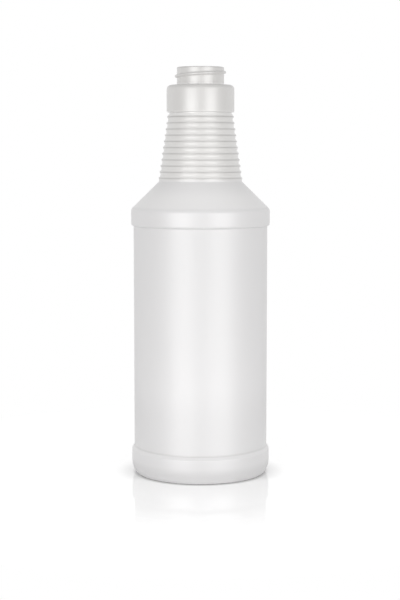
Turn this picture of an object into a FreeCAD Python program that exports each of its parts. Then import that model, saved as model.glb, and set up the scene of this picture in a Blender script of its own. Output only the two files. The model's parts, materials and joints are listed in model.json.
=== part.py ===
import FreeCAD, Part
import math
import os
import Sketcher

# A blow-moulded carafe bottle for a trigger sprayer, in one piece: a hollow thin-walled body with
# a recessed label panel between two bands, a conical shoulder, a taper of grip rings, a collar and
# a threaded neck.  Millimetres, +Z up, the origin on the axis at the plane that it stands on.

DOCUMENT = FreeCAD.newDocument("CarafeBottle")
SHEET = DOCUMENT.addObject("Spreadsheet::Sheet", "Sizes")


# ---------------------------------------------------------------- sizes and expressions

class Term:
    """A size as an expression on the sheet; plain arithmetic puts terms together."""

    def __init__(self, text):
        self.text = str(text)

    def __str__(self):
        return self.text

    def __add__(self, other):
        return Term(f"({self} + {other})")

    def __sub__(self, other):
        return Term(f"({self} - {other})")

    def __mul__(self, other):
        return Term(f"({self} * {other})")

    def __truediv__(self, other):
        return Term(f"({self} / {other})")

    def __neg__(self):
        return Term(f"(0 - {self})")

    def value(self):
        result = SHEET.evalExpression(self.text)
        return float(getattr(result, "Value", result))


def call(function, term):
    return Term(f"{function}({term})")


def size(name, value, meaning):
    """Writes one driving size on the sheet and returns it as a term."""
    row = size.rows = getattr(size, "rows", 0) + 1
    SHEET.set(f"A{row}", name)
    SHEET.set(f"B{row}", str(value))
    SHEET.set(f"C{row}", meaning)
    SHEET.setAlias(f"B{row}", name)
    return Term(f"Sizes.{name}")


# Overall
total_height = size("total_height", 219, "standing plane to the sealing land")
band_diameter = size("band_diameter", 74.8, "the two bands, the widest part")

# Base and heel
standing_ring_width = size("standing_ring_width", 2.4, "flat ring that it stands on")
heel_height = size("heel_height", 6.9, "height of the heel's arc")
heel_inset = size("heel_inset", 2.6, "how far the heel's arc draws in")
heel_corner_radius = size("heel_corner_radius", 1.5, "heel to standing ring")
push_up_height = size("push_up_height", 5, "centre of the base above the standing plane")
push_up_foot_height = size("push_up_foot_height", 2, "foot of the base's dome")
push_up_foot_width = size("push_up_foot_width", 2, "slope from standing ring to dome")
pinch_length = size("pinch_length", 42, "weld line left by the mould's pinch-off")
pinch_width = size("pinch_width", 1.2, "weld line's width")
pinch_depth = size("pinch_depth", 0.5, "weld line below the dome")

# Bands and label panel
lower_band_top = size("lower_band_top", 13.1, "upper corner of the lower band")
lower_step_height = size("lower_step_height", 2.0, "slope from lower band to panel")
panel_recess = size("panel_recess", 1.33, "label panel inside the bands")
upper_step_height = size("upper_step_height", 0.8, "slope from panel to upper band")
upper_band_height = size("upper_band_height", 8.4, "upper band")
lower_band_rounding = size("lower_band_rounding", 0.7, "lower band to its step")
upper_band_rounding = size("upper_band_rounding", 1.1, "upper band to its step")
panel_corner_radius = size("panel_corner_radius", 0.4, "steps to panel")

# Shoulder
shoulder_height = size("shoulder_height", 14.9, "upper band to the shoulder's top")
shoulder_top_diameter = size("shoulder_top_diameter", 44.4, "the shoulder's top")
shoulder_band_radius = size("shoulder_band_radius", 2.7, "band to shoulder")
shoulder_top_radius = size("shoulder_top_radius", 0.6, "shoulder to grip rings")

# Grip rings
ring_count = size("ring_count", 11, "rings on the taper")
ring_pitch = size("ring_pitch", 3.257, "ring to ring along the axis")
ring_depth = size("ring_depth", 0.75, "crest to valley")
ring_crest_radius = size("ring_crest_radius", 0.55, "rounding of a crest")
top_ring_diameter = size("top_ring_diameter", 35.6, "crest of the highest ring")
low_ring_diameter = size("low_ring_diameter", 45, "crest of the lowest ring")
shoulder_to_ring = size("shoulder_to_ring", 1.8, "shoulder's top to the lowest crest")
ring_to_collar = size("ring_to_collar", 2.4, "highest crest to the collar")

# Collar
collar_diameter = size("collar_diameter", 36.3, "plain collar under the neck")
collar_height = size("collar_height", 14.5, "collar")
collar_top_radius = size("collar_top_radius", 2.4, "collar's upper corner")
collar_edge_radius = size("collar_edge_radius", 0.35, "collar's lower edge")
groove_depth = size("groove_depth", 1.4, "groove under the collar, inside the collar")
groove_height = size("groove_height", 0.75, "straight part of the groove")

# Neck finish, 28-400
neck_height = size("neck_height", 9.4, "collar to sealing land")
neck_diameter = size("neck_diameter", 25.2, "neck under the thread")
bore_diameter = size("bore_diameter", 21.5, "mouth")
rim_outer_radius = size("rim_outer_radius", 0.35, "sealing land's outer edge")
rim_inner_radius = size("rim_inner_radius", 0.3, "sealing land's inner edge")
thread_pitch = size("thread_pitch", 4.233, "single right-hand start, six turns an inch")
thread_turns = size("thread_turns", 1.1, "turns, run-outs included")
thread_start_angle = size("thread_start_angle", 45, "where the lower run-out starts, from +X")
thread_start_drop = size("thread_start_drop", 6.4, "its middle there, below the sealing land")
thread_height = size("thread_height", 1.15, "thread outside the neck")
thread_root_width = size("thread_root_width", 2.2, "thread at the neck's wall")
thread_crest_width = size("thread_crest_width", 1.4, "where the flanks meet the rounded crest")
thread_crest_rise = size("thread_crest_rise", 0.5, "height of the rounded crest")
thread_root_sink = size("thread_root_sink", 0.3, "thread's root inside the neck's wall")
thread_end_lip = size("thread_end_lip", 0.05, "what a run-out leaves at its tip")

# Walls
body_wall = size("body_wall", 1, "rings, shoulder, bands, panel and heel")
collar_wall = size("collar_wall", 1.5, "collar")
base_wall = size("base_wall", 1.5, "base")
inner_corner_radius = size("inner_corner_radius", 2, "rounding inside the collar and shoulder")
floor_corner_radius = size("floor_corner_radius", 0.6, "rounding inside the heel")

DOCUMENT.recompute()

# ---------------------------------------------------------------- places worked out from the sizes

band_radius = band_diameter / 2
panel_radius = band_radius - panel_recess
shoulder_top = shoulder_top_diameter / 2
top_ring = top_ring_diameter / 2
low_ring = low_ring_diameter / 2
collar_radius = collar_diameter / 2
groove_radius = collar_radius - groove_depth
neck_radius = neck_diameter / 2
bore_radius = bore_diameter / 2

# Levels, from the rim down to the label panel
neck_base = total_height - neck_height
collar_base = neck_base - collar_height
top_ring_level = collar_base - ring_to_collar
low_ring_level = top_ring_level - (ring_count - 1) * ring_pitch
shoulder_top_level = low_ring_level - shoulder_to_ring
upper_band_top = shoulder_top_level - shoulder_height
upper_band_base = upper_band_top - upper_band_height
panel_top = upper_band_base - upper_step_height
panel_base = lower_band_top + lower_step_height

# The heel is an arc that leaves the lower band without a corner
heel_radius = (heel_height * heel_height + heel_inset * heel_inset) / (heel_inset * 2)
standing_outer = band_radius - heel_inset
standing_inner = standing_outer - standing_ring_width
dome_foot = standing_inner - push_up_foot_width
dome_rise = push_up_height - push_up_foot_height
dome_radius = (dome_foot * dome_foot + dome_rise * dome_rise) / (dome_rise * 2)

# The grip rings' crests lie on a cone, and arcs of two radii follow one another without a corner
ring_taper = call("atan", (low_ring - top_ring) / ((ring_count - 1) * ring_pitch))
ring_slope_pitch = ring_pitch / call("cos", ring_taper)
ring_half_arc = call("atan", ring_depth * 2 / ring_slope_pitch) * 2
ring_valley_radius = ring_slope_pitch / (call("sin", ring_half_arc) * 2) - ring_crest_radius
crest_half_chord = ring_crest_radius * call("sin", ring_half_arc)
crest_drop = ring_crest_radius - ring_crest_radius * call("cos", ring_half_arc)


# ---------------------------------------------------------------- sketches and features

def arc_centre(start, end, radius, turn):
    """Centre of the arc from start to end; turn is +1 anticlockwise and -1 clockwise."""
    chord = end.sub(start)
    half = chord.Length / 2
    middle = start.add(end).multiply(0.5)
    left = FreeCAD.Vector(-chord.y, chord.x, 0).normalize()
    return middle.add(left.multiply(turn * math.sqrt(max(radius ** 2 - half ** 2, 0))))


def arc_geometry(start, end, radius, turn):
    centre = arc_centre(start, end, radius, turn)
    first, last = (start, end) if turn > 0 else (end, start)
    first_angle = math.atan2(first.y - centre.y, first.x - centre.x)
    last_angle = math.atan2(last.y - centre.y, last.x - centre.x)
    if last_angle < first_angle:
        last_angle += 2 * math.pi
    circle = Part.Circle(centre, FreeCAD.Vector(0, 0, 1), radius)
    return Part.ArcOfCircle(circle, first_angle, last_angle)


class Outline:
    """A closed outline of lines and arcs, each corner pinned to the sheet by expressions."""

    START, END = 1, 2
    ORIGIN = (-1, 1)
    X_AXIS, Y_AXIS = -1, -2

    def __init__(self):
        self.corners = []
        self.edges = []

    def corner(self, x, y, radius=None, turn=0):
        """Adds a corner; the edge that leaves it is a line, or an arc of that radius and turn."""
        self.corners.append((x, y))
        self.edges.append((radius, turn))

    def draw(self, sketch):
        places = [FreeCAD.Vector(Term(x).value(), Term(y).value(), 0) for x, y in self.corners]
        constraints = []
        bindings = []
        previous_end = None
        for index, (radius, turn) in enumerate(self.edges):
            start = places[index]
            end = places[(index + 1) % len(places)]
            if radius is None:
                sketch.addGeometry(Part.LineSegment(start, end), False)
            else:
                sketch.addGeometry(arc_geometry(start, end, radius.value(), turn), False)
                bindings.append((len(constraints), radius))
                constraints.append(Sketcher.Constraint("Radius", index, radius.value()))
            near, far = (self.START, self.END) if turn >= 0 else (self.END, self.START)
            self.pin(constraints, bindings, index, near, self.corners[index], start)
            if previous_end is not None:
                constraints.append(Sketcher.Constraint("Coincident", *previous_end, index, near))
            previous_end = (index, far)
        first_near = self.START if self.edges[0][1] >= 0 else self.END
        constraints.append(Sketcher.Constraint("Coincident", *previous_end, 0, first_near))
        sketch.addConstraint(constraints)
        for index, term in bindings:
            sketch.setExpression(f"Constraints[{index}]", str(term))

    def pin(self, constraints, bindings, element, end, corner, place):
        x, y = corner
        if isinstance(x, Term):
            bindings.append((len(constraints), x))
            constraints.append(Sketcher.Constraint("DistanceX", *self.ORIGIN, element, end, place.x))
        else:
            constraints.append(Sketcher.Constraint("PointOnObject", element, end, self.Y_AXIS))
        if isinstance(y, Term):
            bindings.append((len(constraints), y))
            constraints.append(Sketcher.Constraint("DistanceY", *self.ORIGIN, element, end, place.y))
        else:
            constraints.append(Sketcher.Constraint("PointOnObject", element, end, self.X_AXIS))


def origin_plane(body, role):
    return next(plane for plane in body.Origin.OriginFeatures if plane.Role == role)


def new_sketch(body, name, outline, turned=None):
    """A sketch on the upright plane of the body, turned about the axis if asked."""
    sketch = body.newObject("Sketcher::SketchObject", name)
    sketch.AttachmentSupport = (origin_plane(body, "XZ_Plane"), [""])
    sketch.MapMode = "FlatFace"
    if turned is not None:
        upright = FreeCAD.Vector(0, 1, 0)
        sketch.AttachmentOffset = FreeCAD.Placement(
            FreeCAD.Vector(), FreeCAD.Rotation(upright, turned.value()))
        sketch.setExpression("AttachmentOffset.Rotation.Angle", str(turned))
    outline.draw(sketch)
    return sketch


def spin(body, kind, name, sketch):
    """A Revolution or Groove once round the sketch's upright axis."""
    feature = body.newObject(kind, name)
    feature.Profile = sketch
    feature.ReferenceAxis = (sketch, ["V_Axis"])
    feature.Angle = 360
    DOCUMENT.recompute()
    return feature


def round_edges(body, name, radius, circles):
    """Rounds the circular edges that have these radii and levels."""
    base = body.Tip
    wanted = [(circle.value(), level.value()) for circle, level in circles]
    found = []
    for number, edge in enumerate(base.Shape.Edges, start=1):
        if edge.Degenerated or not isinstance(edge.Curve, Part.Circle):
            continue
        for circle, level in wanted:
            same_size = abs(edge.Curve.Radius - circle) < 0.001
            same_level = abs(edge.Curve.Center.z - level) < 0.001
            if same_size and same_level:
                found.append(f"Edge{number}")
    if len(found) != len(wanted):
        raise RuntimeError(f"{name}: {len(found)} edges found for {len(wanted)} circles")
    fillet = body.newObject("PartDesign::Fillet", name)
    fillet.Base = (base, found)
    fillet.setExpression("Radius", str(radius))
    DOCUMENT.recompute()
    return fillet


# ---------------------------------------------------------------- the bottle's outlines

def add_rings(outline):
    """The grip rings from the lowest to the highest: a crest arc each, and a valley between two."""
    along = (-call("sin", ring_taper), call("cos", ring_taper))
    outward = (call("cos", ring_taper), call("sin", ring_taper))
    count = int(ring_count.value())
    for number in range(count):
        crest_x = low_ring - call("tan", ring_taper) * ring_pitch * number
        crest_y = low_ring_level + ring_pitch * number
        lower_x = crest_x - crest_half_chord * along[0] - crest_drop * outward[0]
        lower_y = crest_y - crest_half_chord * along[1] - crest_drop * outward[1]
        upper_x = crest_x + crest_half_chord * along[0] - crest_drop * outward[0]
        upper_y = crest_y + crest_half_chord * along[1] - crest_drop * outward[1]
        outline.corner(lower_x, lower_y, ring_crest_radius, +1)
        if number < count - 1:
            outline.corner(upper_x, upper_y, ring_valley_radius, -1)
        else:
            outline.corner(upper_x, upper_y)


def outer_outline():
    outline = Outline()
    outline.corner(0, push_up_height, dome_radius, -1)
    outline.corner(dome_foot, push_up_foot_height)
    outline.corner(standing_inner, 0)
    outline.corner(standing_outer, 0, heel_radius, +1)
    outline.corner(band_radius, heel_height)
    outline.corner(band_radius, lower_band_top)
    outline.corner(panel_radius, panel_base)
    outline.corner(panel_radius, panel_top)
    outline.corner(band_radius, upper_band_base)
    outline.corner(band_radius, upper_band_top)
    outline.corner(shoulder_top, shoulder_top_level)
    add_rings(outline)
    outline.corner(groove_radius, collar_base - groove_height)
    outline.corner(groove_radius, collar_base)
    outline.corner(collar_radius, collar_base)
    outline.corner(collar_radius, neck_base)
    outline.corner(neck_radius, neck_base)
    outline.corner(neck_radius, total_height)
    outline.corner(0, total_height)
    return outline


def corner_shift(run, rise):
    """How far a corner of the wall's inside lies along the wall from the same corner outside."""
    return body_wall * call("tan", call("atan", run / rise) / 2)


heel_centre = band_radius - heel_radius
inner_heel_radius = heel_radius - body_wall
inner_heel_drop = heel_height - base_wall
inner_heel_foot = heel_centre + call(
    "sqrt", inner_heel_radius * inner_heel_radius - inner_heel_drop * inner_heel_drop)
inner_dome_foot_level = push_up_foot_height + base_wall
inner_collar = collar_radius - collar_wall
inner_collar_top = neck_base - collar_wall
inner_low_ring = low_ring - ring_depth - body_wall
inner_top_ring = top_ring - ring_depth - body_wall
inner_shoulder_shift = corner_shift(band_radius - shoulder_top, shoulder_height)
inner_shoulder_top = shoulder_top - body_wall
inner_shoulder_level = shoulder_top_level - inner_shoulder_shift
inner_band_top = upper_band_top - inner_shoulder_shift
inner_upper_shift = corner_shift(panel_recess, upper_step_height)
inner_lower_shift = corner_shift(panel_recess, lower_step_height)


def inner_outline():
    outline = Outline()
    outline.corner(0, push_up_height + base_wall, dome_radius, -1)
    outline.corner(dome_foot, inner_dome_foot_level)
    outline.corner(standing_inner, base_wall)
    outline.corner(inner_heel_foot, base_wall, inner_heel_radius, +1)
    outline.corner(band_radius - body_wall, heel_height)
    outline.corner(band_radius - body_wall, lower_band_top - inner_lower_shift)
    outline.corner(panel_radius - body_wall, panel_base - inner_lower_shift)
    outline.corner(panel_radius - body_wall, panel_top + inner_upper_shift)
    outline.corner(band_radius - body_wall, upper_band_base + inner_upper_shift)
    outline.corner(band_radius - body_wall, inner_band_top)
    outline.corner(inner_shoulder_top, inner_shoulder_level)
    outline.corner(inner_low_ring, low_ring_level)
    outline.corner(inner_top_ring, top_ring_level)
    outline.corner(groove_radius - body_wall, collar_base - groove_height)
    outline.corner(groove_radius - body_wall, collar_base)
    outline.corner(inner_collar, collar_base + collar_wall)
    outline.corner(inner_collar, inner_collar_top)
    outline.corner(bore_radius, inner_collar_top)
    outline.corner(bore_radius, total_height)
    outline.corner(0, total_height)
    return outline


def thread_outline():
    """Section of the thread: a root in the wall, two flanks and a rounded crest."""
    middle = total_height - thread_start_drop
    half_crest = thread_crest_width / 2
    flank_height = thread_height - thread_crest_rise
    flank_slope = (thread_root_width / 2 - half_crest) / flank_height
    half_root = half_crest + (flank_height + thread_root_sink) * flank_slope
    root = neck_radius - thread_root_sink
    flank_top = neck_radius + flank_height
    crest_radius = (half_crest * half_crest + thread_crest_rise * thread_crest_rise) / (
        thread_crest_rise * 2)
    outline = Outline()
    outline.corner(root, middle - half_root)
    outline.corner(flank_top, middle - half_crest, crest_radius, +1)
    outline.corner(flank_top, middle + half_crest)
    outline.corner(root, middle + half_root)
    return outline


def pinch_outline():
    """Upright section of the weld line: it follows the dome and roots in the base's wall."""
    half_length = pinch_length / 2
    low_radius = dome_radius - pinch_depth
    root_radius = dome_radius + base_wall / 2
    centre_level = push_up_height - dome_radius
    low_level = centre_level + call("sqrt", low_radius * low_radius - half_length * half_length)
    root_level = centre_level + call("sqrt", root_radius * root_radius - half_length * half_length)
    outline = Outline()
    outline.corner(-half_length, low_level, low_radius, -1)
    outline.corner(half_length, low_level)
    outline.corner(half_length, root_level, root_radius, +1)
    outline.corner(-half_length, root_level)
    return outline


# ---------------------------------------------------------------- the bottle

def round_outside(body):
    round_edges(body, "HeelCorner", heel_corner_radius, [(standing_outer, Term(0))])
    round_edges(body, "LowerBandRounding", lower_band_rounding, [(band_radius, lower_band_top)])
    round_edges(body, "UpperBandRounding", upper_band_rounding, [(band_radius, upper_band_base)])
    round_edges(body, "PanelCorners", panel_corner_radius,
                [(panel_radius, panel_base), (panel_radius, panel_top)])
    round_edges(body, "ShoulderBand", shoulder_band_radius, [(band_radius, upper_band_top)])
    round_edges(body, "ShoulderTop", shoulder_top_radius, [(shoulder_top, shoulder_top_level)])
    round_edges(body, "CollarTop", collar_top_radius, [(collar_radius, neck_base)])
    round_edges(body, "CollarEdge", collar_edge_radius, [(collar_radius, collar_base)])


def round_inside(body):
    round_edges(body, "InnerCorners", inner_corner_radius, [
        (band_radius - body_wall, inner_band_top),
        (inner_shoulder_top, inner_shoulder_level),
        (inner_collar, inner_collar_top),
    ])
    round_edges(body, "InnerFloor", floor_corner_radius, [
        (inner_heel_foot, base_wall),
        (standing_inner, base_wall),
    ])
    round_edges(body, "RimOuter", rim_outer_radius, [(neck_radius, total_height)])
    round_edges(body, "RimInner", rim_inner_radius, [(bore_radius, total_height)])


def add_thread(body):
    sketch = new_sketch(body, "ThreadSection", thread_outline(), turned=thread_start_angle)
    thread = body.newObject("PartDesign::AdditiveHelix", "Thread")
    thread.Profile = sketch
    thread.ReferenceAxis = (sketch, ["V_Axis"])
    thread.Mode = "pitch-turns-angle"
    thread.HasBeenEdited = True
    thread.setExpression("Pitch", str(thread_pitch))
    thread.setExpression("Turns", str(thread_turns))
    DOCUMENT.recompute()
    run_out(body, "LowerRunOut", thread_start_angle, total_height - thread_start_drop)
    end_angle = thread_start_angle + thread_turns * 360
    end_level = total_height - thread_start_drop + thread_turns * thread_pitch
    run_out(body, "UpperRunOut", end_angle, end_level)


def run_out(body, name, angle, level):
    """Fades the thread into the wall where a plane that touches the neck cuts it off."""
    reach = thread_height * 2
    width = neck_diameter
    depth = thread_root_width + thread_pitch / 5
    face = neck_radius + thread_end_lip
    cosine = call("cos", angle * Term("1 deg"))
    sine = call("sin", angle * Term("1 deg"))
    before = body.Tip.Shape.Volume
    box = body.newObject("PartDesign::SubtractiveBox", name)
    box.AttachmentSupport = (origin_plane(body, "XY_Plane"), [""])
    box.MapMode = "FlatFace"
    box.setExpression("Length", str(reach))
    box.setExpression("Width", str(width))
    box.setExpression("Height", str(depth))
    box.AttachmentOffset = FreeCAD.Placement(
        FreeCAD.Vector(), FreeCAD.Rotation(FreeCAD.Vector(0, 0, 1), angle.value()))
    box.setExpression("AttachmentOffset.Rotation.Angle", str(angle))
    box.setExpression("AttachmentOffset.Base.x", str(face * cosine + width / 2 * sine))
    box.setExpression("AttachmentOffset.Base.y", str(face * sine - width / 2 * cosine))
    box.setExpression("AttachmentOffset.Base.z", str(level - depth / 2))
    DOCUMENT.recompute()
    if box.Shape.Volume >= before:
        raise RuntimeError(f"{name} cuts nothing")


def add_pinch_line(body):
    sketch = new_sketch(body, "PinchSection", pinch_outline())
    pad = body.newObject("PartDesign::Pad", "PinchLine")
    pad.Profile = sketch
    pad.Midplane = True
    pad.setExpression("Length", str(pinch_width))
    DOCUMENT.recompute()


def make_bottle():
    body = DOCUMENT.addObject("PartDesign::Body", "CarafeBottle")
    body.Label = "carafe_bottle"
    body.Placement = FreeCAD.Placement()
    outside = new_sketch(body, "OuterOutline", outer_outline())
    spin(body, "PartDesign::Revolution", "OuterForm", outside)
    round_outside(body)
    inside = new_sketch(body, "InnerOutline", inner_outline())
    spin(body, "PartDesign::Groove", "Cavity", inside)
    round_inside(body)
    add_pinch_line(body)
    add_thread(body)
    return body


def check(parts):
    for item in DOCUMENT.Objects:
        if "Invalid" in item.State or "Error" in item.State:
            raise RuntimeError(f"{item.Name} failed: {item.State}")
    for part in parts:
        if part.Shape.isNull() or not part.Shape.isValid():
            raise RuntimeError(f"{part.Label} has no valid shape")
        if len(part.Shape.Solids) != 1:
            raise RuntimeError(f"{part.Label} is {len(part.Shape.Solids)} solids, not one")


def write(parts):
    os.makedirs("parts", exist_ok=True)
    for part in parts:
        part.Shape.exportStep(f"parts/{part.Label}.step")


PARTS = [make_bottle()]
DOCUMENT.recompute()
check(PARTS)
write(PARTS)
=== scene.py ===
import json
import math

import bmesh
import bpy
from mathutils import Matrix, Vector


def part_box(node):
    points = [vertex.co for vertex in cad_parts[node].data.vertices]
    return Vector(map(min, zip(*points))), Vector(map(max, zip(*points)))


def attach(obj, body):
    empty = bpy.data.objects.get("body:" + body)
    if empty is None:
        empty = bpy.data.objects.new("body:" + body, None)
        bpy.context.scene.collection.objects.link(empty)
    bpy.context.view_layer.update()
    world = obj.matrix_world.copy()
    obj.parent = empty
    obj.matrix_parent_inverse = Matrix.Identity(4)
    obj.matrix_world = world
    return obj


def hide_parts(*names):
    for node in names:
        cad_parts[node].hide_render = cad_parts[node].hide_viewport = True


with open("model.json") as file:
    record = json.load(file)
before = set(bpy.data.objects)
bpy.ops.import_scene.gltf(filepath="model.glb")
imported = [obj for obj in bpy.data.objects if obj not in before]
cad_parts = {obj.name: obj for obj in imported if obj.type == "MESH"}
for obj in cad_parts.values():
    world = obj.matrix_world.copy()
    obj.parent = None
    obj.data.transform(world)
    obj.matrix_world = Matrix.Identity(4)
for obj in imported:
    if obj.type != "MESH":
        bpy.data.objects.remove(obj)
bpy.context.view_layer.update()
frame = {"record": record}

# A blown polyethylene carafe bottle on a white glossy table, lit by two upright softboxes.
# Lengths are metres; the sizes that a maker would give in millimetres are multiplied by MM.

MM = 0.001
FULL_TURN = 2 * math.pi
NODE = "carafe_bottle"
MOUNTS = {mount["name"]: mount for mount in frame["record"]["mounts"]}

# ---------------------------------------------------------------- sizes

TOP_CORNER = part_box(NODE)[1]
HEIGHT = TOP_CORNER.z
BAND_RADIUS = TOP_CORNER.x
BORE_RADIUS = MOUNTS["mouth"]["dims"]["r_mm"] * MM
THREAD_RADIUS = MOUNTS["neck_thread"]["dims"]["r_mm"] * MM
THREAD_HEIGHT = 1.15 * MM
NECK_RADIUS = THREAD_RADIUS - THREAD_HEIGHT

# Heel and base
STANDING_RING_WIDTH = 2.4 * MM
HEEL_HEIGHT = 6.9 * MM
HEEL_INSET = 2.6 * MM
PUSH_UP_HEIGHT = 5.0 * MM
PUSH_UP_FOOT_HEIGHT = 2.0 * MM
PUSH_UP_FOOT_WIDTH = 2.0 * MM

# Weld line left under the base by the mould's pinch-off
WELD_LENGTH = 42 * MM
WELD_WIDTH = 1.2 * MM
WELD_DEPTH = 0.5 * MM
WELD_BEVEL = 0.2 * MM

# Bands and label panel
LOWER_BAND_TOP = 13.1 * MM
LOWER_STEP_HEIGHT = 2.0 * MM
PANEL_RECESS = 1.33 * MM
UPPER_STEP_HEIGHT = 0.8 * MM
UPPER_BAND_HEIGHT = 8.4 * MM

# Shoulder
SHOULDER_HEIGHT = 14.9 * MM
SHOULDER_TOP_RADIUS = 22.2 * MM

# Grip rings
RING_COUNT = 11
RING_PITCH = 3.257 * MM
RING_DEPTH = 0.75 * MM
RING_CREST_ROUNDING = 0.55 * MM
LOWEST_CREST_ROUNDING = 0.9 * RING_CREST_ROUNDING
LOWEST_CREST_OUT = 0.05 * MM
LOWEST_CREST_UP = 0.2 * MM
TOP_RING_RADIUS = 17.8 * MM
LOW_RING_RADIUS = 22.5 * MM
SHOULDER_TO_RING = 1.8 * MM
RING_TO_COLLAR = 2.4 * MM

# Collar and neck
COLLAR_RADIUS = 18.15 * MM
COLLAR_HEIGHT = 14.5 * MM
GROOVE_DEPTH = 1.4 * MM
GROOVE_HEIGHT = 0.75 * MM
NECK_HEIGHT = 9.4 * MM

# Thread; its crest takes up this share of its width at the root
THREAD_PITCH = 4.233 * MM
THREAD_TURNS = 1.1
THREAD_START_ANGLE = math.radians(45)
THREAD_START_DROP = 6.4 * MM
THREAD_ROOT_WIDTH = 2.2 * MM
THREAD_CREST_SHARE = 0.25
THREAD_RUN_OUT = math.radians(24)

# Walls
BODY_WALL = 1.0 * MM
COLLAR_WALL = 1.5 * MM
BASE_WALL = 1.5 * MM

# Roundings of the outside corners, from the base up to the rim
DOME_FOOT_ROUNDING = 1.0 * MM
STANDING_RING_ROUNDING = 0.5 * MM
HEEL_ROUNDING = 1.5 * MM
LOWER_BAND_ROUNDING = 0.7 * MM
PANEL_ROUNDING = 0.4 * MM
UPPER_BAND_ROUNDING = 1.1 * MM
SHOULDER_BAND_ROUNDING = 2.7 * MM
SHOULDER_TOP_ROUNDING = 0.6 * MM
GROOVE_ROUNDING = 0.5 * MM
GROOVE_ROOF_ROUNDING = 0.15 * MM
COLLAR_EDGE_ROUNDING = 0.35 * MM
COLLAR_TOP_ROUNDING = 2.4 * MM
NECK_FOOT_ROUNDING = 0.25 * MM
RIM_OUTER_ROUNDING = 0.35 * MM
RIM_INNER_ROUNDING = 0.3 * MM

# Roundings of the inside corners, from the bore down to the floor
BORE_FOOT_ROUNDING = 0.6 * MM
INNER_COLLAR_ROUNDING = 2.0 * MM
INNER_GROOVE_ROUNDING = 0.8 * MM
INNER_GRIP_TOP_ROUNDING = 0.5 * MM
INNER_GRIP_FOOT_ROUNDING = 2.0 * MM
INNER_SHOULDER_ROUNDING = 1.2 * MM
INNER_BAND_ROUNDING = 2.0 * MM
INNER_STEP_ROUNDING = 0.5 * MM
INNER_PANEL_ROUNDING = 0.8 * MM
FLOOR_ROUNDING = 0.6 * MM
INNER_DOME_ROUNDING = 0.8 * MM

# Fineness of the mesh, and how near a point has to be to count as on the neck or to be joined
COLUMNS = 224
CORNER_STEPS = 6
DOME_STEPS = 8
HEEL_STEPS = 10
HEEL_STEPS_UNDER_ROUNDING = 3
INNER_HEEL_STEPS = 6
NECK_ROWS = 56
NECK_ROWS_ABOVE_FOOT = 0.5 * MM
NECK_ROWS_BELOW_RIM = 0.4 * MM
WELD_STEPS = 24
ON_NECK_WITHIN = 0.1 * MM
JOINED_WITHIN = 0.002 * MM

# Levels, from the rim down to the label panel, and the radii that follow from the sizes
NECK_BASE = HEIGHT - NECK_HEIGHT
COLLAR_BASE = NECK_BASE - COLLAR_HEIGHT
TOP_RING_LEVEL = COLLAR_BASE - RING_TO_COLLAR
LOW_RING_LEVEL = TOP_RING_LEVEL - (RING_COUNT - 1) * RING_PITCH
SHOULDER_TOP_LEVEL = LOW_RING_LEVEL - SHOULDER_TO_RING
UPPER_BAND_TOP = SHOULDER_TOP_LEVEL - SHOULDER_HEIGHT
UPPER_BAND_BASE = UPPER_BAND_TOP - UPPER_BAND_HEIGHT
PANEL_TOP = UPPER_BAND_BASE - UPPER_STEP_HEIGHT
PANEL_BASE = LOWER_BAND_TOP + LOWER_STEP_HEIGHT
PANEL_RADIUS = BAND_RADIUS - PANEL_RECESS
STANDING_OUTER = BAND_RADIUS - HEEL_INSET
STANDING_INNER = STANDING_OUTER - STANDING_RING_WIDTH
DOME_FOOT = STANDING_INNER - PUSH_UP_FOOT_WIDTH
GROOVE_RADIUS = COLLAR_RADIUS - GROOVE_DEPTH
RING_TAPER = (LOW_RING_RADIUS - TOP_RING_RADIUS) / ((RING_COUNT - 1) * RING_PITCH)


# ---------------------------------------------------------------- node trees

class Value:
    """A number in a node tree; arithmetic on it adds Math nodes."""

    def __init__(self, graph, socket):
        self.graph = graph
        self.socket = socket

    def __add__(self, other):
        return self.graph.math("ADD", self, other)

    def __radd__(self, other):
        return self.graph.math("ADD", other, self)

    def __sub__(self, other):
        return self.graph.math("SUBTRACT", self, other)

    def __rsub__(self, other):
        return self.graph.math("SUBTRACT", other, self)

    def __mul__(self, other):
        return self.graph.math("MULTIPLY", self, other)

    def __rmul__(self, other):
        return self.graph.math("MULTIPLY", other, self)

    def __truediv__(self, other):
        return self.graph.math("DIVIDE", self, other)

    def __rtruediv__(self, other):
        return self.graph.math("DIVIDE", other, self)

    def __lt__(self, other):
        return self.graph.math("LESS_THAN", self, other)

    def __abs__(self):
        return self.graph.math("ABSOLUTE", self)


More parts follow.
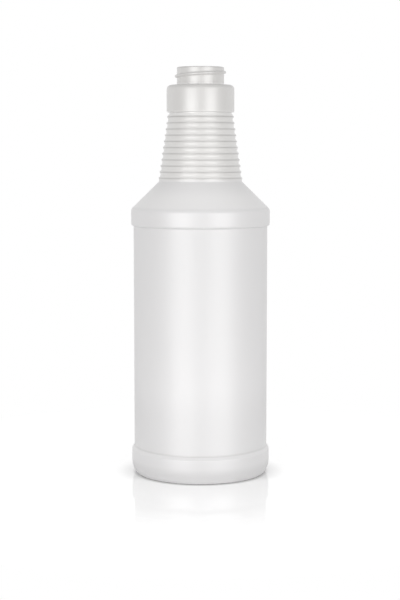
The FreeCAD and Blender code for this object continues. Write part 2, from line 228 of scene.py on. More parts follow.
class Graph:
    """A shader or geometry tree that is built from Python."""

    def __init__(self, tree):
        self.tree = tree

    def node(self, kind, settings=None, inputs=None):
        """Adds a node of any kind: its settings first, then the values or links of its sockets."""
        node = self.tree.nodes.new(kind)
        for name, value in (settings or {}).items():
            setattr(node, name, value)
        for key, value in (inputs or {}).items():
            self.feed(node.inputs[key], value)
        return node

    def feed(self, socket, value):
        if isinstance(value, Value):
            value = value.socket
        if isinstance(value, bpy.types.NodeSocket):
            self.tree.links.new(value, socket)
        else:
            socket.default_value = value

    def value(self, socket):
        return Value(self, socket)

    def math(self, operation, *values):
        node = self.node("ShaderNodeMath", {"operation": operation}, dict(enumerate(values)))
        return self.value(node.outputs[0])

    def vector(self, operation, *values):
        settings = {"operation": operation}
        return self.node("ShaderNodeVectorMath", settings, dict(enumerate(values)))

    def split(self, vector):
        node = self.node("ShaderNodeSeparateXYZ", inputs={0: vector})
        return [self.value(socket) for socket in node.outputs]

    def smooth(self, value, low, high):
        """0 below low, 1 above high, and a smooth rise between them."""
        settings = {"interpolation_type": "SMOOTHSTEP"}
        inputs = {"Value": value, "From Min": low, "From Max": high}
        node = self.node("ShaderNodeMapRange", settings, inputs)
        return self.value(node.outputs[0])

    def zone(self, value, start, full, fade=None, end=None):
        """0 below start, 1 from full to fade and 0 above end; without a fade it stays 1."""
        rise = self.smooth(value, start, full)
        if fade is None:
            return rise
        return rise * (1 - self.smooth(value, fade, end))

    def largest(self, first, *others):
        for other in others:
            first = self.math("MAXIMUM", first, other)
        return first

    def mix_colours(self, factor, first, second):
        inputs = {0: factor, 6: first, 7: second}
        return self.node("ShaderNodeMix", {"data_type": "RGBA"}, inputs).outputs[2]

    def mix_vectors(self, factor, first, second):
        inputs = {0: factor, 4: first, 5: second}
        return self.node("ShaderNodeMix", {"data_type": "VECTOR"}, inputs).outputs[1]

    def mix_shaders(self, factor, first, second):
        inputs = {0: factor, 1: first.outputs[0], 2: second.outputs[0]}
        return self.node("ShaderNodeMixShader", inputs=inputs)

    def noise(self, vector, scale, detail=2.0):
        inputs = {"Vector": vector, "Scale": scale, "Detail": detail}
        node = self.node("ShaderNodeTexNoise", inputs=inputs)
        return self.value(node.outputs[0])


def place_in_scene(name, data):
    """An object at the origin with the given mesh, lamp or camera."""
    placed = bpy.data.objects.new(name, data)
    bpy.context.scene.collection.objects.link(placed)
    return placed


# ---------------------------------------------------------------- the bottle's outline
# A corner is (distance from the axis, height, rounding).

def dome_height(across):
    """Height of the pushed-up base at a distance from the axis."""
    rise = PUSH_UP_HEIGHT - PUSH_UP_FOOT_HEIGHT
    bend = (DOME_FOOT ** 2 + rise ** 2) / (2 * rise)
    return PUSH_UP_HEIGHT - (bend - math.sqrt(bend ** 2 - across ** 2))


def dome_corners(lift, foot_rounding):
    """The pushed-up base from the axis to its foot, raised by lift."""
    corners = []
    for step in range(DOME_STEPS):
        across = DOME_FOOT * step / DOME_STEPS
        corners.append((across, dome_height(across) + lift, 0))
    corners.append((DOME_FOOT, PUSH_UP_FOOT_HEIGHT + lift, foot_rounding))
    return corners


def heel_corner(share, wall=0, floor=0, rounding=0):
    """A corner on the heel's arc, wall inside it; share is 0 at the band and 1 at the floor."""
    outer = (HEEL_HEIGHT ** 2 + HEEL_INSET ** 2) / (2 * HEEL_INSET)
    radius = outer - wall
    angle = share * math.asin((HEEL_HEIGHT - floor) / radius)
    across = BAND_RADIUS - outer + radius * math.cos(angle)
    return across, HEEL_HEIGHT - radius * math.sin(angle), rounding


def ring_corners():
    """Grip rings: a zigzag up the taper whose crests and valleys are rounded into each other."""
    taper = math.atan(RING_TAPER)
    pitch = RING_PITCH / math.cos(taper)
    flank = 2 * math.atan(2 * RING_DEPTH / pitch)
    valley_rounding = pitch / (2 * math.sin(flank)) - RING_CREST_ROUNDING
    beyond = 1 / math.cos(flank) - 1
    crest_out = RING_CREST_ROUNDING * beyond
    valley_in = RING_DEPTH + valley_rounding * beyond
    along = Vector((-math.sin(taper), math.cos(taper)))
    outward = Vector((math.cos(taper), math.sin(taper)))
    first = Vector((LOW_RING_RADIUS, LOW_RING_LEVEL))

    # The lowest crest has the shoulder under it in place of a flank, so its corner is set apart.
    lowest = first + outward * LOWEST_CREST_OUT + along * LOWEST_CREST_UP
    corners = [(*lowest, LOWEST_CREST_ROUNDING)]
    for number in range(RING_COUNT):
        crest = first + along * pitch * number
        if number > 0:
            corners.append((*(crest + outward * crest_out), RING_CREST_ROUNDING))
        if number < RING_COUNT - 1:
            valley = crest + along * pitch / 2 - outward * valley_in
            corners.append((*valley, valley_rounding))
    return corners


def neck_corners():
    """The neck's wall in close rows, so that the thread has a fine mesh to rise from."""
    low = NECK_BASE + NECK_ROWS_ABOVE_FOOT
    high = HEIGHT - NECK_ROWS_BELOW_RIM
    corners = [(NECK_RADIUS, NECK_BASE, NECK_FOOT_ROUNDING)]
    for row in range(NECK_ROWS + 1):
        corners.append((NECK_RADIUS, low + (high - low) * row / NECK_ROWS, 0))
    corners.append((NECK_RADIUS, HEIGHT, RIM_OUTER_ROUNDING))
    return corners


def outside_corners():
    """The outside, from the base's middle up to the rim."""
    corners = dome_corners(0, DOME_FOOT_ROUNDING)
    corners.append((STANDING_INNER, 0, STANDING_RING_ROUNDING))
    corners.append((STANDING_OUTER, 0, HEEL_ROUNDING))
    for step in range(HEEL_STEPS_UNDER_ROUNDING, HEEL_STEPS + 1):
        corners.append(heel_corner(1 - step / HEEL_STEPS))
    corners += [
        (BAND_RADIUS, LOWER_BAND_TOP, LOWER_BAND_ROUNDING),
        (PANEL_RADIUS, PANEL_BASE, PANEL_ROUNDING),
        (PANEL_RADIUS, PANEL_TOP, PANEL_ROUNDING),
        (BAND_RADIUS, UPPER_BAND_BASE, UPPER_BAND_ROUNDING),
        (BAND_RADIUS, UPPER_BAND_TOP, SHOULDER_BAND_ROUNDING),
        (SHOULDER_TOP_RADIUS, SHOULDER_TOP_LEVEL, SHOULDER_TOP_ROUNDING),
        *ring_corners(),
        (GROOVE_RADIUS, COLLAR_BASE - GROOVE_HEIGHT, GROOVE_ROUNDING),
        (GROOVE_RADIUS, COLLAR_BASE, GROOVE_ROOF_ROUNDING),
        (COLLAR_RADIUS, COLLAR_BASE, COLLAR_EDGE_ROUNDING),
        (COLLAR_RADIUS, NECK_BASE, COLLAR_TOP_ROUNDING),
        *neck_corners(),
    ]
    return corners


def inside_corners():
    """The wall's inside, from the rim down to the floor's middle."""
    shoulder_turn = math.atan((BAND_RADIUS - SHOULDER_TOP_RADIUS) / SHOULDER_HEIGHT)
    shoulder_shift = BODY_WALL * math.tan(shoulder_turn / 2)
    upper_shift = BODY_WALL * math.tan(math.atan(PANEL_RECESS / UPPER_STEP_HEIGHT) / 2)
    lower_shift = BODY_WALL * math.tan(math.atan(PANEL_RECESS / LOWER_STEP_HEIGHT) / 2)
    collar = COLLAR_RADIUS - COLLAR_WALL
    groove = GROOVE_RADIUS - BODY_WALL
    grip_foot = LOW_RING_RADIUS - RING_DEPTH - BODY_WALL
    shoulder_top = SHOULDER_TOP_RADIUS - BODY_WALL
    band = BAND_RADIUS - BODY_WALL
    panel = PANEL_RADIUS - BODY_WALL
    corners = [
        (BORE_RADIUS, HEIGHT, RIM_INNER_ROUNDING),
        (BORE_RADIUS, NECK_BASE - COLLAR_WALL, BORE_FOOT_ROUNDING),
        (collar, NECK_BASE - COLLAR_WALL, INNER_COLLAR_ROUNDING),
        (collar, COLLAR_BASE + COLLAR_WALL, INNER_GROOVE_ROUNDING),
        (groove, COLLAR_BASE, INNER_GROOVE_ROUNDING),
        (groove, COLLAR_BASE - GROOVE_HEIGHT, INNER_GRIP_TOP_ROUNDING),
        (grip_foot, LOW_RING_LEVEL, INNER_GRIP_FOOT_ROUNDING),
        (shoulder_top, SHOULDER_TOP_LEVEL - shoulder_shift, INNER_SHOULDER_ROUNDING),
        (band, UPPER_BAND_TOP - shoulder_shift, INNER_BAND_ROUNDING),
        (band, UPPER_BAND_BASE + upper_shift, INNER_STEP_ROUNDING),
        (panel, PANEL_TOP + upper_shift, INNER_PANEL_ROUNDING),
        (panel, PANEL_BASE - lower_shift, INNER_PANEL_ROUNDING),
        (band, LOWER_BAND_TOP - lower_shift, INNER_STEP_ROUNDING),
    ]
    for step in range(INNER_HEEL_STEPS):
        corners.append(heel_corner(step / INNER_HEEL_STEPS, BODY_WALL, BASE_WALL))
    corners.append(heel_corner(1, BODY_WALL, BASE_WALL, FLOOR_ROUNDING))
    corners.append((STANDING_INNER, BASE_WALL, FLOOR_ROUNDING))
    corners += reversed(dome_corners(BASE_WALL, INNER_DOME_ROUNDING))
    return corners


def outline_object():
    """The outline as a chain of edges with each corner's rounding as an attribute."""
    corners = outside_corners() + inside_corners()
    points = [(across, 0, height) for across, height, _ in corners]
    mesh = bpy.data.meshes.new("Bottle outline")
    mesh.from_pydata(points, [(index, index + 1) for index in range(len(points) - 1)], [])
    roundings = mesh.attributes.new("rounding", "FLOAT", "POINT")
    roundings.data.foreach_set("value", [rounding for _, _, rounding in corners])
    return place_in_scene("Bottle outline", mesh)


# ---------------------------------------------------------------- blowing the bottle

def thread_rise(graph, sizes, angle, level, turn):
    """How far the thread's given turn lifts the neck's wall at an angle and a level."""
    travelled = angle + turn * FULL_TURN - sizes["Thread Start Angle"]
    middle = sizes["Thread Start Level"] + travelled * sizes["Thread Pitch"] / FULL_TURN
    off_middle = abs(level - middle) / (sizes["Thread Root Width"] / 2)
    section = 1 - graph.smooth(off_middle, THREAD_CREST_SHARE, 1.0)
    length = sizes["Thread Turns"] * FULL_TURN
    start_fade = graph.smooth(travelled, 0.0, THREAD_RUN_OUT)
    end_fade = graph.smooth(length - travelled, 0.0, THREAD_RUN_OUT)
    return section * start_fade * end_fade * sizes["Thread Height"]


def bottle_tree():
    """Rounds the outline's corners, turns it once round the axis and raises the thread."""
    tree = bpy.data.node_groups.new("Blown bottle", "GeometryNodeTree")
    graph = Graph(tree)
    face = tree.interface
    face.new_socket("Geometry", in_out="INPUT", socket_type="NodeSocketGeometry")
    whole = ["Columns", "Corner Steps"]
    numbers = ["Neck Radius", "Thread Height", "Thread Root Width", "Thread Pitch",
               "Thread Turns", "Thread Start Angle", "Thread Start Level"]
    for name in whole:
        face.new_socket(name, in_out="INPUT", socket_type="NodeSocketInt")
    for name in numbers:
        face.new_socket(name, in_out="INPUT", socket_type="NodeSocketFloat")
    face.new_socket("Material", in_out="INPUT", socket_type="NodeSocketMaterial")
    face.new_socket("Geometry", in_out="OUTPUT", socket_type="NodeSocketGeometry")
    given = graph.node("NodeGroupInput")
    sizes = {name: graph.value(given.outputs[name]) for name in whole + numbers}

    chain = graph.node("GeometryNodeMeshToCurve", inputs={"Mesh": given.outputs["Geometry"]})
    rounding = graph.node("GeometryNodeInputNamedAttribute", {"data_type": "FLOAT"}, {
        "Name": "rounding",
    })
    fillet = graph.node("GeometryNodeFilletCurve", {"mode": "POLY"}, {
        "Curve": chain.outputs[0],
        "Count": sizes["Corner Steps"],
        "Radius": rounding.outputs[0],
    })
    count = graph.node("GeometryNodeAttributeDomainSize", {"component": "CURVE"}, {
        0: fillet.outputs[0],
    })
    rows = graph.value(count.outputs["Point Count"])

    # A flat grid takes the outline's points down each column, one column for each angle.
    grid = graph.node("GeometryNodeMeshGrid", inputs={
        "Vertices X": sizes["Columns"] + 1,
        "Vertices Y": rows,
    })
    index = graph.value(graph.node("GeometryNodeInputIndex").outputs[0])
    column = graph.math("FLOOR", (index + 0.5) / rows)
    row = index - column * rows
    position = graph.node("GeometryNodeInputPosition")
    sample_settings = {"data_type": "FLOAT_VECTOR", "domain": "POINT"}
    sample = graph.node("GeometryNodeSampleIndex", sample_settings, {
        "Geometry": fillet.outputs[0],
        "Value": position.outputs[0],
        "Index": row,
    })
    radius, _, level = graph.split(sample.outputs[0])
    angle = column * FULL_TURN / sizes["Columns"]

    on_neck = abs(radius - sizes["Neck Radius"]) < ON_NECK_WITHIN
    first_turn = thread_rise(graph, sizes, angle, level, 0)
    second_turn = thread_rise(graph, sizes, angle, level, 1)
    lifted = radius + on_neck * graph.largest(first_turn, second_turn)
    turned = graph.node("ShaderNodeCombineXYZ", inputs={
        "X": lifted * graph.math("COSINE", angle),
        "Y": lifted * graph.math("SINE", angle),
        "Z": level,
    })
    shaped = graph.node("GeometryNodeSetPosition", inputs={
        "Geometry": grid.outputs["Mesh"],
        "Position": turned.outputs[0],
    })
    closed = graph.node("GeometryNodeMergeByDistance", inputs={
        "Geometry": shaped.outputs[0],
        "Distance": JOINED_WITHIN,
    })
    soft = graph.node("GeometryNodeSetShadeSmooth", inputs={"Geometry": closed.outputs[0]})
    real = graph.node("GeometryNodeRealizeInstances", inputs={"Geometry": soft.outputs[0]})
    dressed = graph.node("GeometryNodeSetMaterial", inputs={
        "Geometry": real.outputs[0],
        "Material": given.outputs["Material"],
    })
    graph.node("NodeGroupOutput", inputs={"Geometry": dressed.outputs[0]})
    return tree


def add_weld_line(mesh):
    """The pinch-off weld under the base: a narrow bar bent along the dome, rooted in its wall."""
    side = WELD_WIDTH / 2
    inner = side - WELD_BEVEL
    work = bmesh.new()
    work.from_mesh(mesh)
    sections = []
    for step in range(WELD_STEPS + 1):
        along = WELD_LENGTH * (step / WELD_STEPS - 0.5)
        root = dome_height(along) + BASE_WALL / 2
        low = dome_height(along) - WELD_DEPTH
        bevel = low + WELD_BEVEL
        section = [(-side, root), (-side, bevel), (-inner, low),
                   (inner, low), (side, bevel), (side, root)]
        sections.append([work.verts.new((along, across, level)) for across, level in section])
    faces = [work.faces.new(sections[0]), work.faces.new(sections[-1])]
    for first, second in zip(sections, sections[1:]):
        for corner in range(len(first)):
            square = (first[corner - 1], first[corner], second[corner], second[corner - 1])
            faces.append(work.faces.new(square))
    bmesh.ops.recalc_face_normals(work, faces=faces)
    work.to_mesh(mesh)
    work.free()


def blow_bottle(material):
    """Runs the tree on the outline and keeps the result as a plain mesh."""
    outline = outline_object()
    modifier = outline.modifiers.new("Blown bottle", "NODES")
    modifier.node_group = bottle_tree()
    values = {
        "Columns": COLUMNS,
        "Corner Steps": CORNER_STEPS,
        "Neck Radius": NECK_RADIUS,
        "Thread Height": THREAD_HEIGHT,
        "Thread Root Width": THREAD_ROOT_WIDTH,
        "Thread Pitch": THREAD_PITCH,
        "Thread Turns": THREAD_TURNS,
        "Thread Start Angle": THREAD_START_ANGLE,
        "Thread Start Level": HEIGHT - THREAD_START_DROP,
        "Material": material,
    }
    for socket in modifier.node_group.interface.items_tree:
        if socket.in_out == "INPUT" and socket.name in values:
            modifier[socket.identifier] = values[socket.name]
    depsgraph = bpy.context.evaluated_depsgraph_get()
    mesh = bpy.data.meshes.new_from_object(outline.evaluated_get(depsgraph))
    mesh.name = "Carafe bottle"
    add_weld_line(mesh)
    bpy.data.objects.remove(outline)
    return place_in_scene("Carafe_bottle", mesh)


# ---------------------------------------------------------------- the plastic's colours and finish

WHITE = (1, 1, 1, 1)
BLACK = (0, 0, 0, 1)

# BODY_COLOUR, NECK_COLOUR and CLOUD_COLOUR are the plastic's own tones; the others paint light,
# shade or a glow onto it.
BODY_COLOUR = (0.817, 0.808, 0.810, 1)
PAINTED_SHOULDER_LIGHT_COLOUR = (0.900, 0.890, 0.888, 1)
PAINTED_LIGHT_COLOUR = (0.960, 0.948, 0.935, 1)
PAINTED_LOW_LIGHT_COLOUR = (0.958, 0.946, 0.949, 1)
PAINTED_SHADE_COLOUR = (0.610, 0.598, 0.583, 1)
NECK_COLOUR = (0.744, 0.730, 0.713, 1)
PAINTED_HOLLOW_LIGHT_COLOUR = (0.818, 0.804, 0.786, 1)
PAINTED_CREST_SHADE_COLOUR = (0.540, 0.528, 0.513, 1)
CLOUD_COLOUR = (0.700, 0.700, 0.700, 1)
INNER_GLOW = (0.125, 0.122, 0.116, 1)

# Zones of the wall: the heights where each starts, is full, begins to fade and has ended
ZONES = {
    "low body": (6 * MM, 9 * MM, 10 * MM, 40 * MM),
    "lower step": (LOWER_BAND_TOP - 0.8 * MM, LOWER_BAND_TOP,
                   PANEL_BASE - 0.7 * MM, PANEL_BASE - 0.4 * MM),
    "panel crease": (PANEL_BASE - 0.7 * MM, PANEL_BASE - 0.1 * MM,
                     PANEL_BASE + 0.2 * MM, PANEL_BASE + 0.8 * MM),
    "panel": (PANEL_BASE, PANEL_BASE + 0.5 * MM, PANEL_TOP - 0.5 * MM, PANEL_TOP),
    "shoulder": (UPPER_BAND_TOP, UPPER_BAND_TOP + 2 * MM,
                 UPPER_BAND_TOP + 5.5 * MM, SHOULDER_TOP_LEVEL),
    "thick wall": (SHOULDER_TOP_LEVEL - 1 * MM, SHOULDER_TOP_LEVEL + 3 * MM),
    "grip": (LOW_RING_LEVEL - 1.5 * MM, LOW_RING_LEVEL,
             COLLAR_BASE - 0.1 * MM, COLLAR_BASE + 0.1 * MM),
    "groove": (COLLAR_BASE - 2.1 * MM, COLLAR_BASE - 1.6 * MM,
               COLLAR_BASE - 0.6 * MM, COLLAR_BASE - 0.35 * MM),
    "groove roof": (COLLAR_BASE - 0.6 * MM, COLLAR_BASE - 0.4 * MM,
                    COLLAR_BASE - 0.1 * MM, COLLAR_BASE + 0.1 * MM),
    "collar edge": (COLLAR_BASE - 0.1 * MM, COLLAR_BASE + 0.1 * MM,
                    COLLAR_BASE + 0.3 * MM, COLLAR_BASE + 0.8 * MM),
    "collar top": (NECK_BASE - 2.0 * MM, NECK_BASE - 1.2 * MM,
                   NECK_BASE - 0.1 * MM, NECK_BASE + 0.1 * MM),
    "neck foot": (NECK_BASE - 0.1 * MM, NECK_BASE + 0.1 * MM,
                  NECK_BASE + 0.5 * MM, NECK_BASE + 1.2 * MM),
    "neck": (NECK_BASE + 0.5 * MM, NECK_BASE + 1 * MM),
    "rim": (HEIGHT - 0.9 * MM, HEIGHT - 0.4 * MM),
    "above floor": (7 * MM, 8 * MM),
}

# How strongly each zone takes its colour
HEEL_SHARE = 0.3
HEEL_FOOT_SHARE = 0.5
LOW_BODY_SHARE = 0.3
LOWER_STEP_SHARE = 0.5
PANEL_CREASE_SHARE = 0.35
COLLAR_EDGE_SHARE = 0.4
COLLAR_TOP_SHARE = 0.5
GROOVE_ROOF_SHARE = 0.5
THREAD_SHARE = 0.7
FLANK_SHARE = 0.5
FLANK_CLEARS_CREST = 0.8
CLOUD_SHARE = 0.06

# Where the other marks fade: heights, distances, or how far the wall faces up or outwards
HEEL_FADE = (2.5 * MM, 5.5 * MM)
HEEL_FOOT_FADE = (1.5 * MM, 3.2 * MM)
HOLLOW_DEPTH = (0.07 * MM, 0.36 * MM)
CREST_DEPTH = (0.0, 0.24 * MM)
FLANK_SLOPE = (0.25, 0.5)
THREAD_OUT = (NECK_RADIUS + 0.1 * MM, NECK_RADIUS + 0.5 * MM)
THREAD_SLOPE = (-0.3, 0.3)
LINING_FACING = (-0.6, -0.2)
FLOOR_SLOPE = (0.2, 0.6)
FLOOR_TOP = (9 * MM, 11 * MM)

# Gloss
PLASTIC_IOR = 1.54
BODY_ROUGHNESS = 0.42
NECK_ROUGHNESS = 0.38
PANEL_ROUGHNESS = 0.46
ROUGHNESS_SWAY = 0.04
COAT_ROUGHNESS = 0.38
COAT_IOR = 2.0
NECK_COAT = 1.0
BODY_COAT = 0.50
PANEL_COAT = 0.30
LOW_COAT = 0.35

# Surface of the mould: the scale of each noise, and heights in millimetres
CLOUD_SCALE = 28
GRAIN_SCALE = 2600
SWAY_SCALE = 60
ROUGHNESS_SCALE = 300
GRAIN_HEIGHT = 0.004
SWAY_HEIGHT = 0.05
SEAM_HEIGHT = 0.08
SEAM_FADE = (0.05 * MM, 0.16 * MM)
RING_SOFTNESS = 0.75


def new_material(name):
    material = bpy.data.materials.new(name)
    material.use_nodes = True
    material.node_tree.nodes.clear()
    return material, Graph(material.node_tree)


def wall_colour(graph, place, zones, radius, upward):
    """The plastic's colour, with painted light and painted shade on its heel, steps, creases,
    edges and rings.
    """
    z = graph.split(place)[2]
    # Painted light on the heel, the lower wall and the lower step, as if from the white table
    # below.
    heel = (1 - graph.smooth(z, *HEEL_FADE)) * HEEL_SHARE
    heel = heel + (1 - graph.smooth(z, *HEEL_FOOT_FADE)) * HEEL_FOOT_SHARE
    painted_low_body_light = zones["low body"] * LOW_BODY_SHARE
    painted_low_light = graph.largest(zones["lower step"] * LOWER_STEP_SHARE, painted_low_body_light, heel)
    # Painted light in the neck's foot, the groove under the collar and on the collar's lower edge,
    # where those recesses are shaded.
    light = graph.largest(
        zones["neck foot"],
        zones["groove"],
        zones["collar edge"] * COLLAR_EDGE_SHARE,
    )

    # Painted shade on the rim's top, the thread's upward-facing flank and the collar's rounded
    # top.
    thread = graph.smooth(radius, *THREAD_OUT) * zones["neck"]
    thread = thread * graph.smooth(upward, *THREAD_SLOPE)
    edge = graph.largest(
        zones["rim"],
        thread * THREAD_SHARE,
        zones["collar top"] * COLLAR_TOP_SHARE,
    )

    # How far the wall lies inside the line along the ring's crests
    depth = LOW_RING_RADIUS - (z - LOW_RING_LEVEL) * RING_TAPER - radius
    # Painted light on the rings' upward-facing flanks, which also clears part of the crests'
    # painted shade.
    flank = zones["grip"] * graph.smooth(upward, *FLANK_SLOPE)
    rings = zones["grip"] * (1 - zones["groove"])
    # Painted light in the rings' hollows.
    painted_hollow_light = rings * graph.smooth(depth, *HOLLOW_DEPTH)
    # Painted shade along the rings' crests.
    crest = rings * (1 - flank * FLANK_CLEARS_CREST) * (1 - graph.smooth(depth, *CREST_DEPTH))

    # The thick neck, collar and rings let less light through: they are greyer and warmer.
    cloud = graph.noise(place, CLOUD_SCALE, 3.0)
    colour = BODY_COLOUR
    for share, next_colour in (
        # painted light on the upward-facing shoulder
        (zones["shoulder"], PAINTED_SHOULDER_LIGHT_COLOUR),
        (zones["thick wall"], NECK_COLOUR),
        (painted_low_light, PAINTED_LOW_LIGHT_COLOUR),
        (light, PAINTED_LIGHT_COLOUR),
        # painted shade in the crease at the label panel's foot
        (zones["panel crease"] * PANEL_CREASE_SHARE, PAINTED_SHADE_COLOUR),
        (edge, PAINTED_SHADE_COLOUR),
        (painted_hollow_light, PAINTED_HOLLOW_LIGHT_COLOUR),
        (flank * FLANK_SHARE, PAINTED_LIGHT_COLOUR),
        (crest, PAINTED_CREST_SHADE_COLOUR),
        # painted shade under the collar's overhang
        (zones["groove roof"] * GROOVE_ROOF_SHARE, PAINTED_SHADE_COLOUR),
        (cloud * CLOUD_SHARE, CLOUD_COLOUR),
    ):
        colour = graph.mix_colours(share, colour, next_colour)
    return colour


def polyethylene():
    """Natural white polyethylene as it leaves the mould: satin, faintly cloudy, finely grained."""
    material, graph = new_material("Natural white polyethylene")
    place = graph.node("ShaderNodeTexCoord").outputs["Object"]
    normal = graph.node("ShaderNodeNewGeometry").outputs["Normal"]
    x, y, z = graph.split(place)
    radius = graph.math("SQRT", x * x + y * y)
    upward = graph.split(normal)[2]
    zones = {name: graph.zone(z, *heights) for name, heights in ZONES.items()}

    # A painted glow on the inside walls and floor stands in for daylight coming through the walls,
    # and keeps the inside from going black.
    sideways = graph.vector("MULTIPLY", place, (1, 1, 0))
    outward = graph.vector("NORMALIZE", sideways.outputs[0]).outputs[0]
    facing = graph.value(graph.vector("DOT_PRODUCT", normal, outward).outputs["Value"])
    lining = (1 - graph.smooth(facing, *LINING_FACING)) * zones["above floor"]
    floor = graph.smooth(upward, *FLOOR_SLOPE) * (1 - graph.smooth(z, *FLOOR_TOP))
    painted_inner_glow = graph.mix_colours(graph.largest(lining, floor), BLACK, INNER_GLOW)

    # The thick wall is glossier, and the label panel a little duller.
    roughness = BODY_ROUGHNESS + zones["thick wall"] * (NECK_ROUGHNESS - BODY_ROUGHNESS)
    roughness = roughness + zones["panel"] * (PANEL_ROUGHNESS - BODY_ROUGHNESS)
    roughness = roughness + graph.noise(place, ROUGHNESS_SCALE) * ROUGHNESS_SWAY
    coat = BODY_COAT + zones["thick wall"] * (NECK_COAT - BODY_COAT)
    coat = coat + zones["panel"] * (PANEL_COAT - BODY_COAT)
    coat = coat + graph.largest(zones["low body"], zones["lower step"]) * LOW_COAT

    # Fine grain, the blown wall's slow sway and the parting line at the sides
    grain = graph.noise(place, GRAIN_SCALE)
    sway = graph.noise(place, SWAY_SCALE, 1.0)
    seam = 1 - graph.smooth(abs(y), *SEAM_FADE)
    bump = graph.node("ShaderNodeBump", inputs={
        "Height": grain * GRAIN_HEIGHT + sway * SWAY_HEIGHT + seam * SEAM_HEIGHT,
        "Distance": MM,
        "Strength": 1.0,
        "Normal": graph.mix_vectors(zones["grip"] * RING_SOFTNESS, normal, outward),
    })
    surface = graph.node("ShaderNodeBsdfPrincipled", inputs={
        "Base Color": wall_colour(graph, place, zones, radius, upward),
        "Roughness": roughness,
        "IOR": PLASTIC_IOR,
        "Coat Weight": coat,
        "Coat Roughness": COAT_ROUGHNESS,
        "Coat IOR": COAT_IOR,
        "Emission Color": painted_inner_glow,
        "Emission Strength": 1.0,
        "Normal": bump.outputs[0],
    })
    graph.node("ShaderNodeOutputMaterial", inputs={"Surface": surface.outputs[0]})
    material.cycles.emission_sampling = "NONE"
    return material


# ---------------------------------------------------------------- the table

TABLE_RADIUS = 0.20
TABLE_SIDES = 96
TABLE_ROUGHNESS = 0.02
TABLE_COLOUR = (0.80, 0.80, 0.80, 1)
TABLE_GLOW = 0.49
TABLE_BOUNCE_GLOW = 0.35

# Shares of mirror: in the camera's view near the bottle, and for light on its way to the bottle
SEEN_MIRROR = 0.42
CLOSE_MIRROR = 0.5
FAR_MIRROR = 0.9

# The patch that mirrors the bottle: how far before the axis it lies, its narrowing and its fade
PATCH_AHEAD = 0.030
PATCH_NARROWING = 1.2
PATCH_FADE = (0.046, 0.118)

# Distances from the axis where the mirror for the bottle's light turns far, and the ring of
# painted bounce glow
CLOSE_FADE = (0.060, 0.090)
BOUNCE_GLOW_RING = (0.040, 0.060, 0.095, 0.135)

# The shade under and beside the foot
CONTACT_REACH = 0.003
CONTACT_SAMPLES = 16
CONTACT_SHADE = 0.62
SIDE_SHADE = 0.2
SIDE_SHADE_FADE = (0.034, 0.048)
SIDE_SHADE_START = (-0.030, -0.015)


def gloss_white():
    """White gloss: a lit surface that is white to the camera, and a mirror near the bottle."""
    material, graph = new_material("White gloss table")
    x, y, _ = graph.split(graph.node("ShaderNodeTexCoord").outputs["Object"])
    path = graph.node("ShaderNodeLightPath")
    seen = graph.value(path.outputs["Is Camera Ray"])
    away = graph.math("SQRT", x * x + y * y)

    # A ring of the table glows for rays other than the camera's: painted bounce light onto the
    # bottle.
    bounce_glow = (1 - seen) * graph.zone(away, *BOUNCE_GLOW_RING) * TABLE_BOUNCE_GLOW
    strength = seen * TABLE_GLOW + bounce_glow
    matt = graph.node("ShaderNodeBsdfDiffuse", inputs={"Color": TABLE_COLOUR})
    glow = graph.node("ShaderNodeEmission", inputs={"Color": WHITE, "Strength": strength})
    base = graph.node("ShaderNodeAddShader", inputs={0: matt.outputs[0], 1: glow.outputs[0]})

    ahead = y + PATCH_AHEAD
    across = x * x * PATCH_NARROWING ** 2
    patch = 1 - graph.smooth(graph.math("SQRT", across + ahead * ahead), *PATCH_FADE)
    close = 1 - graph.smooth(away, *CLOSE_FADE)
    unseen_share = FAR_MIRROR - close * (FAR_MIRROR - CLOSE_MIRROR)
    share = seen * patch * SEEN_MIRROR + (1 - seen) * unseen_share
    mirror_inputs = {"Color": WHITE, "Roughness": TABLE_ROUGHNESS}
    mirror = graph.node("ShaderNodeBsdfGlossy", inputs=mirror_inputs)
    gloss = graph.mix_shaders(share, base, mirror)

    contact = graph.node("ShaderNodeAmbientOcclusion", {"samples": CONTACT_SAMPLES}, {
        "Distance": CONTACT_REACH,
    })
    under = (1 - graph.value(contact.outputs["AO"])) * CONTACT_SHADE
    beside = (1 - graph.smooth(away, *SIDE_SHADE_FADE)) * graph.smooth(y, *SIDE_SHADE_START)
    shade = graph.node("ShaderNodeBsdfDiffuse", inputs={"Color": BLACK})
    surface = graph.mix_shaders(seen * graph.largest(under, beside * SIDE_SHADE), gloss, shade)
    graph.node("ShaderNodeOutputMaterial", inputs={"Surface": surface.outputs[0]})
    return material


def add_table():
    mesh = bpy.data.meshes.new("Table")
    turns = [FULL_TURN * side / TABLE_SIDES for side in range(TABLE_SIDES)]
    rim = [(TABLE_RADIUS * math.cos(turn), TABLE_RADIUS * math.sin(turn), 0) for turn in turns]
    mesh.from_pydata(rim, [], [tuple(range(TABLE_SIDES))])
    mesh.materials.append(gloss_white())
    table = place_in_scene("Table", mesh)


# ---------------------------------------------------------------- the studio

SOFTBOX_DISTANCE = 1.2
SOFTBOX_LEVEL = 0.08
SOFTBOX_WIDTH = 0.80
SOFTBOX_HEIGHT = 0.76

# Each softbox: degrees from the camera's side of the bottle, right positive, and its watts
SOFTBOXES = {
    "Left softbox": (-31, 5.9),
    "Right softbox": (35, 5.4),
}

# Strengths of the white surroundings, and where they turn from front to back and rise to the top
WORLD_FRONT = 0.32
WORLD_BACK = 0.85
WORLD_TOP = 0.62
WORLD_TURN = (-0.3, 0.5)
WORLD_RISE = (0.25, 0.75)
WORLD_MIRRORED = (0.90, 0.96)

CAMERA_PLACE = (-0.00026, -0.77500, 0.17550)
CAMERA_DOWNWARD = math.radians(6.002)
CAMERA_LENS = 86.088
CAMERA_SENSOR = 36


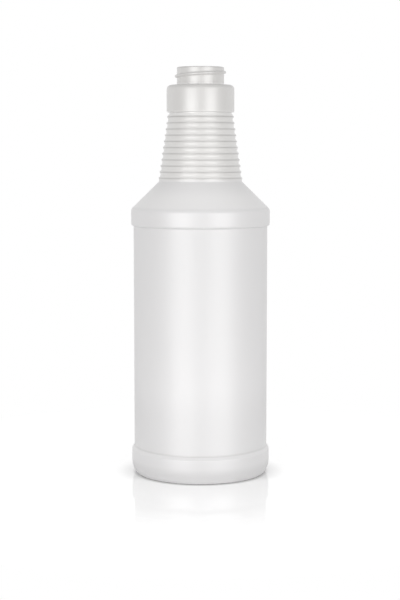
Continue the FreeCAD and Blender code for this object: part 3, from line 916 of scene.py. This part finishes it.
def add_softbox(name, azimuth, power):
    """An upright softbox that faces the bottle's axis."""
    turn = math.radians(azimuth)
    light = bpy.data.lights.new(name, "AREA")
    light.shape = "RECTANGLE"
    light.size = SOFTBOX_WIDTH
    light.size_y = SOFTBOX_HEIGHT
    light.energy = power
    softbox = place_in_scene(name, light)
    across = SOFTBOX_DISTANCE * math.sin(turn)
    softbox.location = (across, -SOFTBOX_DISTANCE * math.cos(turn), SOFTBOX_LEVEL)
    aim = Vector((0, 0, SOFTBOX_LEVEL)) - softbox.location
    softbox.rotation_euler = aim.to_track_quat("-Z", "Y").to_euler()


def add_world():
    """Even white surroundings, plain white where the camera or a mirror sees them."""
    world = bpy.data.worlds.new("White studio")
    bpy.context.scene.world = world
    world.use_nodes = True
    world.node_tree.nodes.clear()
    graph = Graph(world.node_tree)
    path = graph.node("ShaderNodeLightPath")
    seen = graph.value(path.outputs["Is Camera Ray"])
    _, behind, upward = graph.split(graph.node("ShaderNodeTexCoord").outputs["Generated"])
    ring = WORLD_FRONT + graph.smooth(behind, *WORLD_TURN) * (WORLD_BACK - WORLD_FRONT)
    dim = ring + graph.smooth(upward, *WORLD_RISE) * (WORLD_TOP - ring)
    glossy = graph.value(path.outputs["Is Glossy Ray"])
    mirrored = glossy * graph.smooth(behind, *WORLD_MIRRORED)
    strength = seen + (1 - seen) * (dim + mirrored * (1 - dim))
    light = graph.node("ShaderNodeBackground", inputs={"Color": WHITE, "Strength": strength})
    graph.node("ShaderNodeOutputWorld", inputs={"Surface": light.outputs[0]})


def add_camera():
    camera = bpy.data.cameras.new("Camera")
    camera.sensor_width = CAMERA_SENSOR
    camera.lens = CAMERA_LENS
    view = place_in_scene("Camera", camera)
    view.location = CAMERA_PLACE
    view.rotation_euler = (math.radians(90) - CAMERA_DOWNWARD, 0, 0)
    bpy.context.scene.camera = view


def main():
    bottle = blow_bottle(polyethylene())
    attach(bottle, "root")
    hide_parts(NODE)
    add_table()
    for name, (azimuth, power) in SOFTBOXES.items():
        add_softbox(name, azimuth, power)
    add_world()
    add_camera()
    bpy.context.scene.view_settings.view_transform = "Standard"


main()
